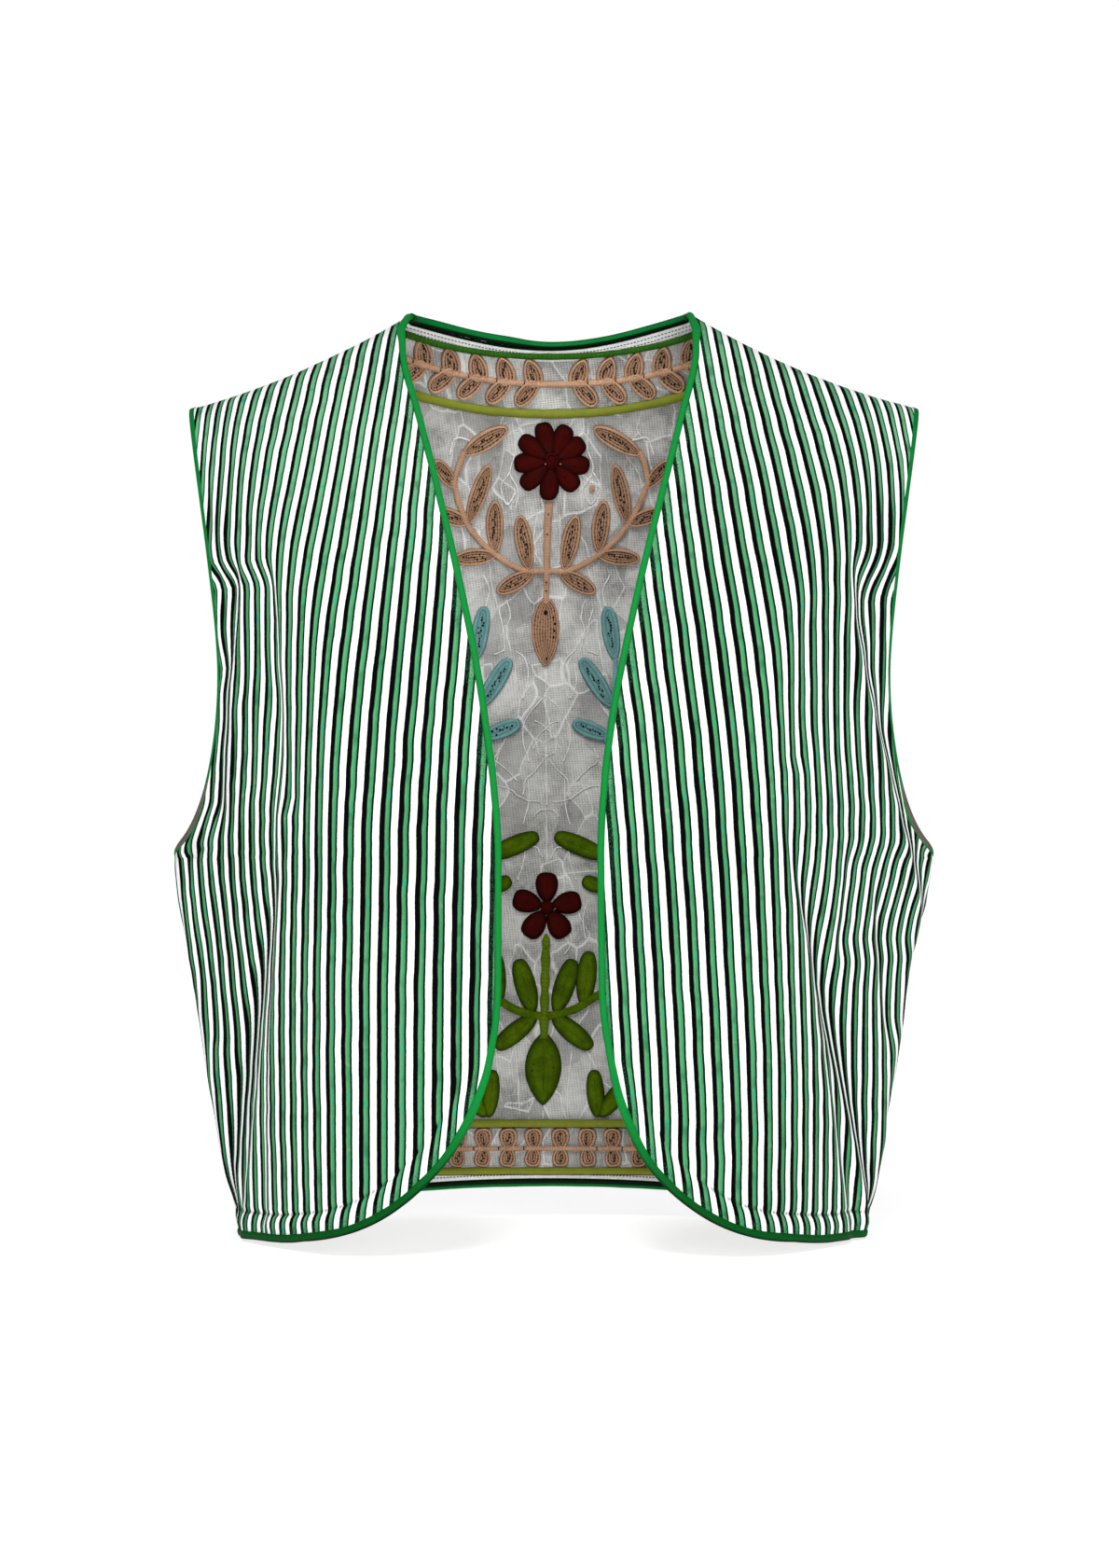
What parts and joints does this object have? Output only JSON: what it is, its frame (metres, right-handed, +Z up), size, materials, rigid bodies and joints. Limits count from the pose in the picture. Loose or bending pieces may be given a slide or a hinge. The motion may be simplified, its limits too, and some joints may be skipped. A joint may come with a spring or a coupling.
{
  "type": "embroidered waistcoat",
  "caption": "Short open waistcoat standing hollow as if worn, with a V-shaped open front, cut-away hem corners, bound edges and embroidery inside the back.",
  "frame": {"origin": "midway between the two neck points, at the height of the shoulder line's highest points, where the wearer's shoulders hold the garment up", "axes": "+Z up, the open front faces -Y, the wearer's left is at +X"},
  "size_m": [0.4602, 0.2404, 0.5552],
  "materials": {
    "striped_cloth": "matte cotton, narrow green, white and black stripes, slightly puckered",
    "lining_cloth": "matte mottled grey cotton with fine pale stitching",
    "bias_binding": "smooth green bias strip",
    "grass_cord": "twisted cord, couched",
    "olive_cord": "smooth round cord, couched",
    "tan_cord": "corded thread in nested rows",
    "leaf_felt": "brushed felt, padded",
    "teal_cord": "corded thread in nested rows",
    "maroon_felt": "brushed felt, padded"
  },
  "bodies": {
    "root": {"front_right": "striped_cloth", "front_left": "striped_cloth", "back": "striped_cloth", "back_lining": "lining_cloth", "binding_front_right": "bias_binding", "binding_front_left": "bias_binding", "binding_neck_back": "bias_binding", "binding_hem_back": "bias_binding", "binding_armhole_right": "bias_binding", "binding_armhole_left": "bias_binding", "neck_cord_upper": "grass_cord", "neck_cord_lower": "olive_cord", "hem_cord_upper": "olive_cord", "hem_cord_lower": "olive_cord", "neck_leaf_border": "tan_cord", "hem_leaf_border": "tan_cord", "sprig_tan": "tan_cord", "sprig_green": "leaf_felt", "leaves_green_right": "leaf_felt", "leaves_green_left": "leaf_felt", "leaves_corner_right": "leaf_felt", "leaves_corner_left": "leaf_felt", "sprig_teal_right": "teal_cord", "sprig_teal_left": "teal_cord", "flower_upper": "maroon_felt", "flower_lower": "maroon_felt"}
  },
  "joints": []
}
